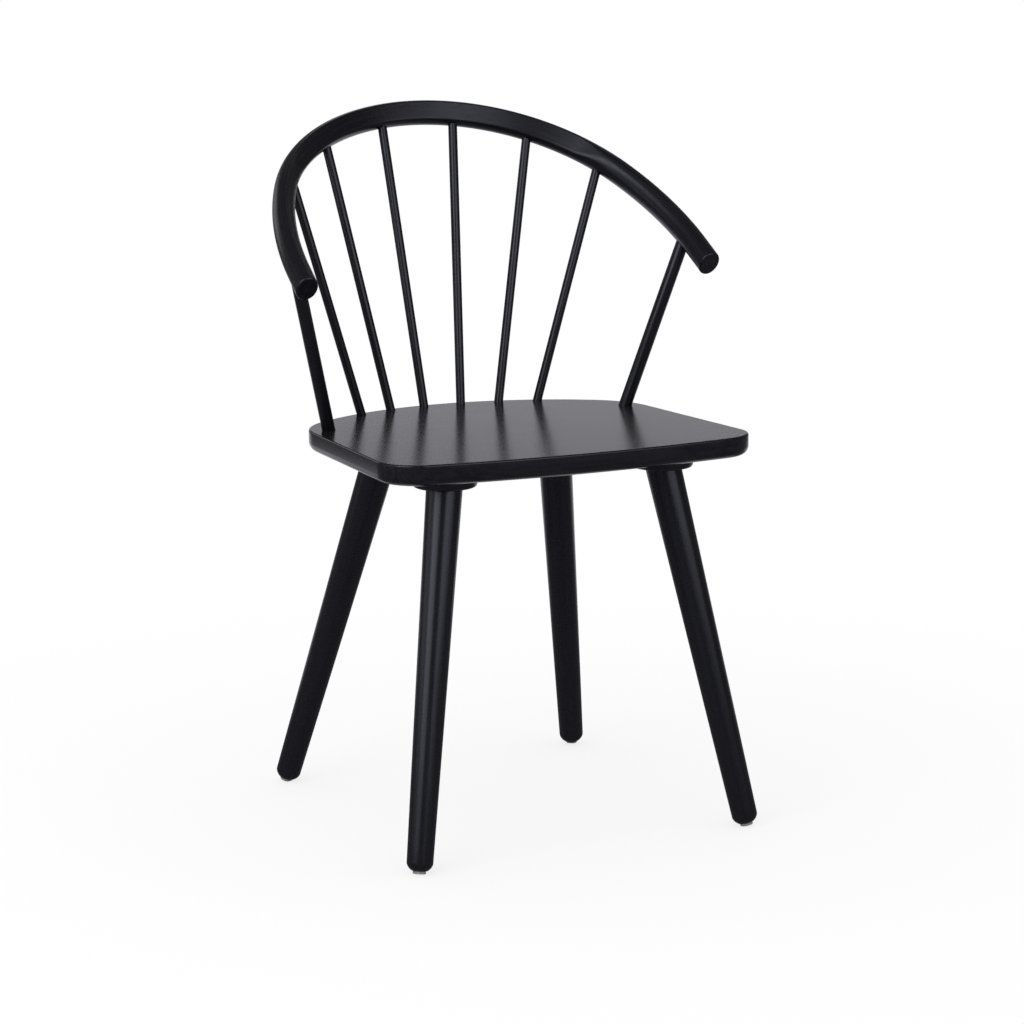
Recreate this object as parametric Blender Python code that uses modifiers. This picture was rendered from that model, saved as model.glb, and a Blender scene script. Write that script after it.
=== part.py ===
"""Black chair: seat plate on four splayed round legs, horseshoe bow carried by six spindles and two posts.

Metres, +Z up, floor at z = 0, front toward -Y, left at -X, mirror symmetric about X = 0.
"""

import math

import bmesh
import bpy
from mathutils import Vector

# Clearance between pieces that meet
GAP = 0.0003

# Seat plate, its outline going round from the middle of the back edge
SEAT_HEIGHT = 0.450
SEAT_THICKNESS = 0.024
SEAT_BACK_REACH = 0.186
SEAT_BACK_RADIUS = 0.292
SEAT_BACK_TURN = math.radians(37.8)
SEAT_SHOULDER_RADIUS = 0.0915
SEAT_SIDE_FLARE = math.radians(3)
SEAT_SIDE_LENGTH = 0.2077
SEAT_CORNER_RADIUS = 0.048
SEAT_FRONT_BOW = math.radians(8.5)
SEAT_TOP_EDGE = 0.002
SEAT_LOWER_EDGE = 0.010

# Bow, its centre line going round from the middle of the back in one tilted plane
BOW_LEVEL = 0.6412
BOW_TILT = math.radians(32.1)
BOW_REACH = 0.2864
BOW_BACK_RADIUS = 0.236
BOW_BACK_TURN = math.radians(65.7)
BOW_ARM_RADIUS = 0.401
BOW_ARM_TURN = math.radians(22)
BOW_ARM_STRAIGHT = 0.031
BOW_WIDTH = 0.0256
BOW_HEIGHT = 0.0311
BOW_END_EDGE = 0.0025

# Planed flat on the inner side of the bow across the backrest
FLAT_DEPTH = 0.005
FLAT_TURN = math.radians(46)
FLAT_FULL = 0.200
FLAT_RUNOUT = 0.050

# Spindles and end posts
SPINDLE_DIAMETER = 0.0107
SPINDLE_INSET = 0.010
SPINDLE_FOOT_TURNS = (4.9, 14.5, 24.0)
SPINDLE_TOPS = (0.047, 0.140, 0.2365)
POST_DIAMETER = 0.0152
POST_INSET = 0.022
POST_SETBACK = 0.0166
POST_TOP = 0.395
ROD_PAST_CENTRE = 0.006
ROD_END_EDGE = 0.0008
SEAT_FLOOR = 0.005

# Legs, from where the axis meets the underside of the block
LEG_TOP_DIAMETER = 0.0404
LEG_FOOT_DIAMETER = 0.029
FOOT_FACE_DIAMETER = 0.017
FOOT_CHAMFER = 0.006
FRONT_LEG_INSET = (0.0895, 0.0855)
FRONT_LEG_LEAN = math.radians(13.8)
FRONT_LEG_TOE = math.radians(46.7)
BACK_LEG_INSET = (0.113, 0.0845)
BACK_LEG_LEAN = math.radians(19.3)
BACK_LEG_TOE = math.radians(55.7)

# Round block between leg and seat
BLOCK_DIAMETER = 0.071
BLOCK_THICKNESS = 0.0145
BLOCK_LOWER_EDGE = 0.0035

# Glide under each foot
GLIDE_DIAMETER = 0.012
GLIDE_THICKNESS = 0.003
GLIDE_EDGE = 0.0008
GLIDE_PIN_DIAMETER = 0.003
GLIDE_PIN_LENGTH = 0.010
GLIDE_FLATTENED = 0.0007

# Hanger bolt, threaded insert and block screws
BOLT_DIAMETER = 0.008
BOLT_IN_LEG = 0.036
INSERT_DIAMETER = 0.012
INSERT_CEILING = 0.0055
SCREW_DIAMETER = 0.004
SCREW_HEAD_DIAMETER = 0.008
SCREW_HEAD_DEPTH = 0.0022
SCREW_SPREAD = 0.027
SCREW_CEILING = 0.007

# Facets
ROD_SIDES = 20
LEG_SIDES = 32
BLOCK_SIDES = 36
BOLT_SIDES = 16
SCREW_SIDES = 12
BOW_SIDES = 21


def clear_scene():
    for obj in list(bpy.data.objects):
        bpy.data.objects.remove(obj)


def new_collection(name, hidden=False):
    made = bpy.data.collections.new(name)
    bpy.context.scene.collection.children.link(made)
    made.hide_render = hidden
    return made


def new_material(name, colour, roughness, metallic=0.0):
    made = bpy.data.materials.new(name)
    made.use_nodes = True
    shader = made.node_tree.nodes["Principled BSDF"]
    shader.inputs["Base Color"].default_value = (*colour, 1.0)
    shader.inputs["Roughness"].default_value = roughness
    shader.inputs["Metallic"].default_value = metallic
    made.diffuse_color = (*colour, 1.0)
    return made


clear_scene()
PARTS = new_collection("chair")
SEAT_CUTS = new_collection("seat_cuts", hidden=True)
BOW_CUTS = new_collection("bow_cuts", hidden=True)
OTHER_CUTS = new_collection("other_cuts", hidden=True)
ROOT = bpy.data.objects.new("chair", None)
PARTS.objects.link(ROOT)

SEAT_LACQUER = new_material("seat_lacquer", (0.022, 0.021, 0.023), 0.34)
BOW_LACQUER = new_material("bow_lacquer", (0.016, 0.015, 0.015), 0.36)
LEG_LACQUER = new_material("leg_lacquer", (0.014, 0.013, 0.013), 0.36)
ROD_PAINT = new_material("rod_paint", (0.014, 0.014, 0.015), 0.38)
GLIDE_PLASTIC = new_material("glide_plastic", (0.30, 0.26, 0.26), 0.60)
ZINC_STEEL = new_material("zinc_steel", (0.60, 0.60, 0.58), 0.35, 1.0)


def follow(segments, distance):
    """Point and heading this far along arcs and straights that start toward +X and turn toward -Y."""
    x = y = turn = 0.0
    for length, radius in segments:
        part = min(distance, length)
        if radius:
            after = turn + part / radius
            x += radius * (math.sin(after) - math.sin(turn))
            y += radius * (math.cos(after) - math.cos(turn))
            turn = after
        else:
            x += part * math.cos(turn)
            y -= part * math.sin(turn)
        distance -= part
        if distance <= 0.0:
            break
    return x, y, turn


def place(obj, start, end):
    """Puts the piece's own Z axis on the line from start to end, with its origin at start."""
    obj.location = start
    obj.rotation_mode = "QUATERNION"
    obj.rotation_quaternion = (Vector(end) - Vector(start)).to_track_quat("Z", "Y")


def add_object(name, mesh, material=None, collections=()):
    obj = bpy.data.objects.new(name, mesh)
    if material:
        PARTS.objects.link(obj)
        mesh.materials.clear()
        mesh.materials.append(material)
    for collection in collections:
        collection.objects.link(obj)
        obj.hide_render = True
        obj.display_type = "WIRE"
    obj.parent = ROOT
    return obj


def smooth(mesh, angle=35):
    mesh.shade_smooth()
    mesh.set_sharp_from_angle(angle=math.radians(angle))
    return mesh


def cylinder_mesh(name, radius, bottom, top, sides, edge=0.0):
    """Round bar along Z, its two rims cut back by a small bevel."""
    bm = bmesh.new()
    made = bmesh.ops.create_cone(
        bm, cap_ends=True, segments=sides, radius1=radius, radius2=radius, depth=top - bottom
    )
    bmesh.ops.translate(bm, verts=made["verts"], vec=(0.0, 0.0, (top + bottom) / 2))
    if edge:
        rims = [e for e in bm.edges if abs(e.verts[0].co.z - e.verts[1].co.z) < 1e-6]
        bmesh.ops.bevel(
            bm, geom=rims, offset=edge, segments=1, affect="EDGES", offset_type="OFFSET"
        )
    mesh = bpy.data.meshes.new(name)
    bm.to_mesh(mesh)
    bm.free()
    return smooth(mesh)


def turned_mesh(name, profile, sides):
    """Solid turned round Z from a profile of (radius, height) points that runs from top to bottom."""
    line = bpy.data.meshes.new(name)
    line.from_pydata(
        [(r, 0.0, z) for r, z in profile], [(i, i + 1) for i in range(len(profile) - 1)], []
    )
    holder = bpy.data.objects.new(name, line)
    OTHER_CUTS.objects.link(holder)
    screw = holder.modifiers.new("turn", "SCREW")
    screw.steps = screw.render_steps = sides
    screw.use_merge_vertices = True
    screw.merge_threshold = 0.00001
    mesh = bpy.data.meshes.new_from_object(
        holder.evaluated_get(bpy.context.evaluated_depsgraph_get())
    )
    bpy.data.objects.remove(holder)
    mesh.name = name
    return smooth(mesh)


def rounded(centre_r, centre_z, radius, start, end, steps):
    """Profile points on an arc, angles in degrees from +X toward +Z."""
    turns = [math.radians(start + (end - start) * i / steps) for i in range(steps + 1)]
    return [(centre_r + radius * math.cos(t), centre_z + radius * math.sin(t)) for t in turns]


def cut(obj, cutter):
    modifier = obj.modifiers.new("cut", "BOOLEAN")
    modifier.operation = "DIFFERENCE"
    modifier.solver = "EXACT"
    if isinstance(cutter, bpy.types.Collection):
        modifier.operand_type = "COLLECTION"
        modifier.collection = cutter
    else:
        modifier.object = cutter


# Levels of the stacked pieces
SEAT_BOTTOM = SEAT_HEIGHT - SEAT_THICKNESS
BLOCK_TOP = SEAT_BOTTOM - GAP
BLOCK_BOTTOM = BLOCK_TOP - BLOCK_THICKNESS
LEG_TOP = BLOCK_BOTTOM - GAP

# Seat outline
SEAT_SIDE_TURN = math.pi / 2 - SEAT_SIDE_FLARE
SEAT_SHAPE = [
    (SEAT_BACK_RADIUS * SEAT_BACK_TURN, SEAT_BACK_RADIUS),
    (SEAT_SHOULDER_RADIUS * (SEAT_SIDE_TURN - SEAT_BACK_TURN), SEAT_SHOULDER_RADIUS),
    (SEAT_SIDE_LENGTH, None),
    (SEAT_CORNER_RADIUS * (math.pi - SEAT_FRONT_BOW - SEAT_SIDE_TURN), SEAT_CORNER_RADIUS),
]
CORNER_X = follow(SEAT_SHAPE, 9.0)[0]
SEAT_FRONT_RADIUS = CORNER_X / math.sin(SEAT_FRONT_BOW)
SEAT_SHAPE.append((SEAT_FRONT_RADIUS * SEAT_FRONT_BOW, SEAT_FRONT_RADIUS))
SEAT_STEPS = (12, 8, 1, 10, 6)


def seat_point(distance, inset=0.0):
    """Point of the seat's right half, moved in from the edge."""
    x, y, turn = follow(SEAT_SHAPE, distance)
    return x - inset * math.sin(turn), SEAT_BACK_REACH + y - inset * math.cos(turn)


SEAT_FRONT = seat_point(9.0)[1]
SEAT_HALF_WIDTH = max(seat_point(0.001 * i)[0] for i in range(1000))


def seat_plate():
    half = []
    travelled = 0.0
    for (length, _), steps in zip(SEAT_SHAPE, SEAT_STEPS):
        half += [seat_point(travelled + length * i / steps) for i in range(steps)]
        travelled += length
    half.append(seat_point(travelled))
    ring = half + [(-x, y) for x, y in reversed(half[1:-1])]
    curve = bpy.data.curves.new("seat_outline", "CURVE")
    curve.dimensions = "2D"
    curve.fill_mode = "BOTH"
    curve.extrude = SEAT_THICKNESS / 2
    spline = curve.splines.new("POLY")
    spline.points.add(len(ring) - 1)
    for point, (x, y) in zip(spline.points, ring):
        point.co = (x, y, 0.0, 1.0)
    spline.use_cyclic_u = True
    holder = bpy.data.objects.new("seat_outline", curve)
    OTHER_CUTS.objects.link(holder)
    mesh = bpy.data.meshes.new_from_object(
        holder.evaluated_get(bpy.context.evaluated_depsgraph_get())
    )
    bpy.data.objects.remove(holder)
    bm = bmesh.new()
    bm.from_mesh(mesh)
    bmesh.ops.remove_doubles(bm, verts=bm.verts, dist=0.00001)
    bmesh.ops.dissolve_limit(
        bm, angle_limit=math.radians(0.5), verts=bm.verts, edges=bm.edges, delimit={"NORMAL"}
    )
    bmesh.ops.recalc_face_normals(bm, faces=bm.faces)
    weight = bm.edges.layers.float.new("bevel_weight_edge")
    for edge in bm.edges:
        low, high = sorted(vertex.co.z for vertex in edge.verts)
        if high < 0.0:
            edge[weight] = 1.0
        elif low > 0.0:
            edge[weight] = SEAT_TOP_EDGE / SEAT_LOWER_EDGE
    bm.to_mesh(mesh)
    bm.free()
    seat = add_object("seat", mesh, SEAT_LACQUER)
    seat.location = (0.0, 0.0, SEAT_HEIGHT - SEAT_THICKNESS / 2)
    bevel = seat.modifiers.new("edges", "BEVEL")
    bevel.limit_method = "WEIGHT"
    bevel.width = SEAT_LOWER_EDGE
    bevel.segments = 4
    cut(seat, SEAT_CUTS)
    return seat


# Bow centre line and sections
BOW_SHAPE = [
    (BOW_BACK_RADIUS * BOW_BACK_TURN, BOW_BACK_RADIUS),
    (BOW_ARM_RADIUS * BOW_ARM_TURN, BOW_ARM_RADIUS),
    (BOW_ARM_STRAIGHT, None),
]
BOW_HALF_LENGTH = sum(length for length, _ in BOW_SHAPE)
UP_SLOPE = Vector((0.0, math.cos(BOW_TILT), math.sin(BOW_TILT)))
BOW_NORMAL = Vector((0.0, -math.sin(BOW_TILT), math.cos(BOW_TILT)))


def bow_station(distance):
    """Centre and outward direction of the bow, this far from the middle of its back, + to the right."""
    side = -1.0 if distance < 0.0 else 1.0
    x, y, turn = follow(BOW_SHAPE, abs(distance))
    centre = Vector((side * x, 0.0, BOW_LEVEL)) + (BOW_REACH + y) * UP_SLOPE
    outward = Vector((side * math.sin(turn), 0.0, 0.0)) + math.cos(turn) * UP_SLOPE
    return centre, outward


def flat_depth(distance):
    """Depth of the planed flat, full across the backrest and run out to almost nothing at the arms."""
    along = min(max((abs(distance) - FLAT_FULL) / FLAT_RUNOUT, 0.0), 1.0)
    return max(FLAT_DEPTH * (1.0 - along * along * (3.0 - 2.0 * along)), 0.00003)


def bow_ring(distance, shrink):
    """Oval section with one flat, its first and last points being the edges of the flat."""
    centre, outward = bow_station(distance)
    across = BOW_WIDTH / 2 - shrink
    tall = BOW_HEIGHT / 2 - shrink
    reach = math.hypot(across * math.cos(FLAT_TURN), tall * math.sin(FLAT_TURN))
    middle = math.atan2(tall * math.sin(FLAT_TURN), -across * math.cos(FLAT_TURN))
    half = math.acos(1.0 - flat_depth(distance) / reach)
    ring = []
    for i in range(BOW_SIDES):
        turn = middle + half + (2.0 * math.pi - 2.0 * half) * i / (BOW_SIDES - 1)
        ring.append(
            centre + across * math.cos(turn) * outward + tall * math.sin(turn) * BOW_NORMAL
        )
    return ring


def bow():
    stations = []
    travelled = 0.0
    for length, spacing in zip((s[0] for s in BOW_SHAPE), (0.0123, 0.0180, 0.0155)):
        steps = round(length / spacing)
        stations += [(travelled + length * i / steps, 0.0) for i in range(steps)]
        travelled += length
    for i in range(4):
        turn = math.radians(30 * i)
        back = BOW_END_EDGE * (1.0 - math.sin(turn))
        stations.append((BOW_HALF_LENGTH - back, BOW_END_EDGE * (1.0 - math.cos(turn))))
    stations = [(-s, shrink) for s, shrink in reversed(stations[1:])] + stations
    bm = bmesh.new()
    rings = [[bm.verts.new(p) for p in bow_ring(s, shrink)] for s, shrink in stations]
    for before, after in zip(rings, rings[1:]):
        for i in range(BOW_SIDES):
            j = (i + 1) % BOW_SIDES
            bm.faces.new((before[i], before[j], after[j], after[i]))
    bm.faces.new(rings[0])
    bm.faces.new(reversed(rings[-1]))
    bmesh.ops.recalc_face_normals(bm, faces=bm.faces)
    mesh = bpy.data.meshes.new("back_bow")
    bm.to_mesh(mesh)
    bm.free()
    made = add_object("back_bow", smooth(mesh), BOW_LACQUER)
    cut(made, BOW_CUTS)
    return made


def rod(name, foot, distance, diameter):
    """Straight rod from inside the seat to inside the bow, and the cutter that makes both its holes."""
    low = Vector((foot[0], foot[1], SEAT_HEIGHT))
    high = bow_station(distance)[0]
    axis = (high - low).normalized()
    sink = (SEAT_THICKNESS - SEAT_FLOOR) / axis.z
    length = (high - low).length + sink + ROD_PAST_CENTRE
    start = low - sink * axis
    mesh = cylinder_mesh(name, diameter / 2, 0.0, length, ROD_SIDES, ROD_END_EDGE)
    place(add_object(name, mesh, ROD_PAINT), start, high)
    hole = cylinder_mesh(name + "_hole", diameter / 2 + GAP, -GAP, length + GAP, ROD_SIDES)
    place(add_object(name + "_hole", hole, None, (SEAT_CUTS, BOW_CUTS)), start, high)


def spindles_and_posts():
    for side, sign in (("left", -1.0), ("right", 1.0)):
        for i, (turn, top) in enumerate(zip(SPINDLE_FOOT_TURNS, SPINDLE_TOPS)):
            x, y = seat_point(SEAT_BACK_RADIUS * math.radians(turn), SPINDLE_INSET)
            rod(f"spindle_{side}_{i + 1}", (sign * x, y), sign * top, SPINDLE_DIAMETER)
        x, y = seat_point(SEAT_SHAPE[0][0] + SEAT_SHAPE[1][0] - POST_SETBACK, POST_INSET)
        rod(f"end_post_{side}", (sign * x, y), sign * POST_TOP, POST_DIAMETER)


def box_mesh(name, size, centre):
    bm = bmesh.new()
    made = bmesh.ops.create_cube(bm, size=1.0)
    bmesh.ops.scale(bm, verts=made["verts"], vec=size)
    bmesh.ops.translate(bm, verts=made["verts"], vec=centre)
    mesh = bpy.data.meshes.new(name)
    bm.to_mesh(mesh)
    bm.free()
    return mesh


def leg_profile(length):
    """Leg from above its top, which is trimmed level, down to the rounded foot, origin at the foot face."""
    slope = (LEG_TOP_DIAMETER - LEG_FOOT_DIAMETER) / 2 / length
    top = length + LEG_TOP_DIAMETER / 2
    face = FOOT_FACE_DIAMETER / 2
    rim = LEG_FOOT_DIAMETER / 2 + slope * FOOT_CHAMFER
    turns = [math.radians(22.5 * i) for i in range(5)]
    foot = [
        (face + (rim - face) * math.cos(t), FOOT_CHAMFER * (1.0 - math.sin(t))) for t in turns
    ]
    return [(0.0, top), (LEG_FOOT_DIAMETER / 2 + slope * top, top)] + foot + [(0.0, 0.0)]


def glide_profile():
    """Disc with a pin up into the foot, origin at the lower face of the disc."""
    r = GLIDE_DIAMETER / 2
    pin = GLIDE_PIN_DIAMETER / 2
    top = GLIDE_THICKNESS
    return (
        [(0.0, top + GLIDE_PIN_LENGTH), (pin, top + GLIDE_PIN_LENGTH), (pin, top)]
        + rounded(r - GLIDE_EDGE, top - GLIDE_EDGE, GLIDE_EDGE, 90, 0, 2)
        + rounded(r - GLIDE_EDGE, GLIDE_EDGE, GLIDE_EDGE, 0, -90, 2)
        + [(0.0, 0.0)]
    )


def block_profile():
    r = BLOCK_DIAMETER / 2
    edge = BLOCK_LOWER_EDGE
    top = [(0.0, BLOCK_THICKNESS), (r, BLOCK_THICKNESS)]
    return top + rounded(r - edge, edge, edge, 0, -90, 3) + [(0.0, 0.0)]


def screw_profile(length, wider):
    """Countersunk screw standing on its head, or its hole when wider is the clearance."""
    head = SCREW_HEAD_DIAMETER / 2 + wider
    shank = SCREW_DIAMETER / 2 + wider
    land = 0.0003 + wider
    return [
        (0.0, length + wider),
        (shank * 0.5, length + wider),
        (shank, length + wider - 0.003),
        (shank, SCREW_HEAD_DEPTH + wider),
        (head, land),
        (head, -4.0 * wider),
        (0.0, -4.0 * wider),
    ]


def leg_group(place_name, sign, fore, inset, lean, toe):
    """One leg with its block, glide, bolt, insert and two screws. fore is -1 at the front, 1 at the back."""
    edge = SEAT_FRONT if fore < 0.0 else SEAT_BACK_REACH
    top = Vector((sign * (SEAT_HALF_WIDTH - inset[0]), edge - fore * inset[1], LEG_TOP))
    level = Vector((sign * math.cos(toe), fore * math.sin(toe), 0.0))
    axis = Vector((0.0, 0.0, math.cos(lean))) - math.sin(lean) * level
    cross = Vector((-level.y, level.x, 0.0))

    rim_drop = GLIDE_DIAMETER / 2 * math.sin(lean)
    glide_at = top - axis * (LEG_TOP - rim_drop + GLIDE_FLATTENED) / math.cos(lean)
    glide = add_object(
        f"glide_{place_name}", turned_mesh("glide", glide_profile(), ROD_SIDES), GLIDE_PLASTIC
    )
    place(glide, glide_at, top)
    cut(glide, FLOOR)

    foot = glide_at + axis * (GLIDE_THICKNESS + GAP)
    length = (top - foot).length
    leg = add_object(
        f"leg_{place_name}", turned_mesh("leg", leg_profile(length), LEG_SIDES), LEG_LACQUER
    )
    place(leg, foot, top)
    cut(leg, LEG_TRIM)
    pin_hole = cylinder_mesh(
        "pin_hole",
        GLIDE_PIN_DIAMETER / 2 + GAP,
        -0.005,
        GLIDE_PIN_LENGTH,
        BOLT_SIDES,
    )
    pin_hole = add_object(f"pin_hole_{place_name}", pin_hole, None, (OTHER_CUTS,))
    place(pin_hole, foot, top)
    cut(leg, pin_hole)

    seat_rise = INSERT_DIAMETER / 2 * math.sin(lean) + GAP
    insert_at = top + axis * (SEAT_BOTTOM + seat_rise - LEG_TOP) / math.cos(lean)
    insert_length = (SEAT_THICKNESS - INSERT_CEILING - 2.0 * seat_rise) / math.cos(lean)
    bore = BOLT_DIAMETER / 2 + GAP
    insert = add_object(
        f"leg_insert_{place_name}",
        cylinder_mesh("insert", INSERT_DIAMETER / 2, 0.0, insert_length, BOLT_SIDES),
        ZINC_STEEL,
    )
    place(insert, insert_at, insert_at + axis)
    insert_hole = cylinder_mesh(
        "insert_hole", INSERT_DIAMETER / 2 + GAP, -0.010, insert_length + GAP, BOLT_SIDES
    )
    place(
        add_object(f"insert_hole_{place_name}", insert_hole, None, (SEAT_CUTS,)),
        insert_at,
        insert_at + axis,
    )

    bolt_end = (insert_at - top).length + insert_length - 0.002
    bolt = add_object(
        f"leg_bolt_{place_name}",
        cylinder_mesh("bolt", BOLT_DIAMETER / 2, -BOLT_IN_LEG, bolt_end, BOLT_SIDES, 0.001),
        ZINC_STEEL,
    )
    place(bolt, top, top + axis)
    bolt_bore = add_object(
        f"bolt_bore_{place_name}",
        cylinder_mesh("bolt_bore", bore, -BOLT_IN_LEG - GAP, bolt_end + 0.010, BOLT_SIDES),
        None,
        (OTHER_CUTS,),
    )
    place(bolt_bore, top, top + axis)
    cut(leg, bolt_bore)
    cut(insert, bolt_bore)

    block_at = top + axis * (GAP + BLOCK_THICKNESS / 2) / math.cos(lean)
    block_at.z = BLOCK_BOTTOM
    block = add_object(
        f"leg_block_{place_name}", turned_mesh("block", block_profile(), BLOCK_SIDES), LEG_LACQUER
    )
    block.location = block_at
    cut(block, bolt_bore)
    screw_length = BLOCK_THICKNESS + GAP + SEAT_THICKNESS - SCREW_CEILING
    for i, way in enumerate((-1.0, 1.0)):
        at = block_at + way * SCREW_SPREAD * cross
        screw = add_object(
            f"block_screw_{place_name}_{i + 1}",
            turned_mesh("screw", screw_profile(screw_length, 0.0), SCREW_SIDES),
            ZINC_STEEL,
        )
        screw.location = at + Vector((0.0, 0.0, GAP))
        hole = add_object(
            f"screw_hole_{place_name}_{i + 1}",
            turned_mesh("screw_hole", screw_profile(screw_length, GAP), SCREW_SIDES),
            None,
            (SEAT_CUTS,),
        )
        hole.location = screw.location
        cut(block, hole)


FLOOR = add_object(
    "floor_cut", box_mesh("floor_cut", (2.0, 2.0, 0.02), (0.0, 0.0, -0.01)), None, (OTHER_CUTS,)
)
LEG_TRIM = add_object(
    "leg_trim",
    box_mesh("leg_trim", (2.0, 2.0, 0.2), (0.0, 0.0, LEG_TOP + 0.1)),
    None,
    (OTHER_CUTS,),
)

seat_plate()
bow()
spindles_and_posts()
for side, sign in (("left", -1.0), ("right", 1.0)):
    leg_group(f"front_{side}", sign, -1.0, FRONT_LEG_INSET, FRONT_LEG_LEAN, FRONT_LEG_TOE)
    leg_group(f"back_{side}", sign, 1.0, BACK_LEG_INSET, BACK_LEG_LEAN, BACK_LEG_TOE)


def centre_front_to_back():
    """Moves the whole chair so that its outside box is centred on Y = 0."""
    bpy.context.view_layer.update()
    graph = bpy.context.evaluated_depsgraph_get()
    depths = []
    for obj in PARTS.objects:
        if obj.type == "MESH":
            world = obj.matrix_world
            depths += [(world @ v.co).y for v in obj.evaluated_get(graph).data.vertices]
    ROOT.location.y = -(min(depths) + max(depths)) / 2


centre_front_to_back()
bpy.context.view_layer.update()
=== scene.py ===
"""Looks of the black spindle-back chair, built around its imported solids.

Metres, +Z up, floor at z = 0, front toward -Y, left at -X as seen from the front.
"""

import math

import bmesh
import bpy
from mathutils import Matrix, Vector


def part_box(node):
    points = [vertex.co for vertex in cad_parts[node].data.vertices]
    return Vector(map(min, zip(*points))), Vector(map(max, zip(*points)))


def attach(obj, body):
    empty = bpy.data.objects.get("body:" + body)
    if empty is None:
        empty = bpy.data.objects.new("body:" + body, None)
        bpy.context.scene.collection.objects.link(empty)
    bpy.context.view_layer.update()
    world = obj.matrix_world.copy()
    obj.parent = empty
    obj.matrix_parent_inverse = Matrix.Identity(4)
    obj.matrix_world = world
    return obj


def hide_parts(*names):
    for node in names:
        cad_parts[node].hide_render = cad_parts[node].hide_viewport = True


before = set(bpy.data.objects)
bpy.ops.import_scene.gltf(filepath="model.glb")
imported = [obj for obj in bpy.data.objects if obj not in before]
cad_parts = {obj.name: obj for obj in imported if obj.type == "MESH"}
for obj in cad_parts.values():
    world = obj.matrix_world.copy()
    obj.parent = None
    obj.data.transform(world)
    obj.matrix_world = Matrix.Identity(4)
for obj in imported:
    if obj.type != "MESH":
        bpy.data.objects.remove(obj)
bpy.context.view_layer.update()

# Clearance between pieces that meet
GAP = 0.0003

# Seat plate, its outline going round from the middle of the back edge
SEAT_HEIGHT = 0.450
SEAT_THICKNESS = 0.024
SEAT_BACK_REACH = 0.186
SEAT_BACK_RADIUS = 0.292
SEAT_BACK_TURN = math.radians(37.8)
SEAT_SHOULDER_RADIUS = 0.0915
SEAT_SIDE_FLARE = math.radians(3)
SEAT_SIDE_LENGTH = 0.2077
SEAT_CORNER_RADIUS = 0.048
SEAT_FRONT_BOW = math.radians(8.5)
SEAT_TOP_EDGE = 0.002
SEAT_LOWER_EDGE = 0.010

# Bow, its centre line going round from the middle of the back in one tilted plane
BOW_LEVEL = 0.6412
BOW_TILT = math.radians(32.1)
BOW_REACH = 0.2864
BOW_BACK_RADIUS = 0.236
BOW_BACK_TURN = math.radians(65.7)
BOW_ARM_RADIUS = 0.401
BOW_ARM_TURN = math.radians(22)
BOW_ARM_STRAIGHT = 0.031
BOW_WIDTH = 0.0256
BOW_HEIGHT = 0.0311
BOW_END_EDGE = 0.0025

# Planed flat on the inner side of the bow across the backrest
FLAT_DEPTH = 0.005
FLAT_TURN = math.radians(46)
FLAT_FULL = 0.200
FLAT_RUNOUT = 0.050
FLAT_SOFTNESS = 0.0016
FLAT_SOFT_FROM = 0.001
SOFTNESS_LEAST = 1e-7

# Spindles and end posts
SPINDLE_DIAMETER = 0.0107
SPINDLE_INSET = 0.010
SPINDLE_FOOT_TURNS = (4.9, 14.5, 24.0)
SPINDLE_TOPS = (0.047, 0.140, 0.2365)
POST_DIAMETER = 0.0152
POST_INSET = 0.022
POST_SETBACK = 0.0166
POST_TOP = 0.395
ROD_PAST_CENTRE = 0.006
ROD_END_EDGE = 0.0008
SEAT_FLOOR = 0.005

# Legs, from where the axis meets the underside of the block
LEG_TOP_DIAMETER = 0.0404
LEG_FOOT_DIAMETER = 0.029
FOOT_FACE_DIAMETER = 0.017
# The chamfer is shown taller than in the solids, and this share of it is straight, the rest rounded
FOOT_CHAMFER = 0.0088
FOOT_STRAIGHT = 0.38
FRONT_LEG_INSET = (0.0895, 0.0855)
FRONT_LEG_LEAN = math.radians(13.8)
FRONT_LEG_TOE = math.radians(46.7)
BACK_LEG_INSET = (0.113, 0.0845)
BACK_LEG_LEAN = math.radians(19.3)
BACK_LEG_TOE = math.radians(55.7)

# Round block between leg and seat
BLOCK_DIAMETER = 0.071
BLOCK_THICKNESS = 0.0145
BLOCK_LOWER_EDGE = 0.0035
BLOCK_TOP_EDGE = 0.0006

# Glide under each foot
GLIDE_DIAMETER = 0.012
# The disc is shown wider than in the solids. The solid's size still sets how high the foot stands
GLIDE_SHOWN_DIAMETER = 0.0145
GLIDE_THICKNESS = 0.003
GLIDE_EDGE = 0.0008
GLIDE_PIN_DIAMETER = 0.003
GLIDE_PIN_LENGTH = 0.010
GLIDE_FLATTENED = 0.0007
PIN_HOLE_LEAD = 0.005

# Block screws
SCREW_DIAMETER = 0.004
SCREW_HEAD_DIAMETER = 0.008
SCREW_HEAD_DEPTH = 0.0022
SCREW_SPREAD = 0.027
SCREW_CEILING = 0.007
RECESS_SPAN = 0.0042
RECESS_WIDTH = 0.0009
RECESS_DEPTH = 0.0016
# Depth and share of the span at a blade's outer and inner end
RECESS_TAPER = ((-0.001, 1.25), (RECESS_DEPTH, 0.35))
SCREW_POINT = 0.003
SCREW_RIM = 0.0003

# Fineness of the meshes, and the names of the maps that carry the grain
OUTLINE_STEP = 0.0022
ROD_SIDES = 56
LEG_SIDES = 112
BLOCK_SIDES = 160
SCREW_SIDES = 40
BOW_SIDES = 168
BOW_STEP = 0.0030
BOW_END_STEPS = 8
GLIDE_SIDES = 64
LEG_RINGS = 24
FOOT_STEPS = 12
# A face at the end of a solid starts this far inside its edge, which keeps the edge's shading clean
FACE_INSET = 0.0006
ROD_FACE_INSET = 0.0003
BOW_FACE_INSET = 0.0005
AXIS_RADIUS = 0.0004
SCREW_AXIS_RADIUS = 0.0002
SHARP_ANGLE = math.radians(35)
GRAIN_MAP = "grain"
DEPTH_MAP = "grain_depth"

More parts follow.
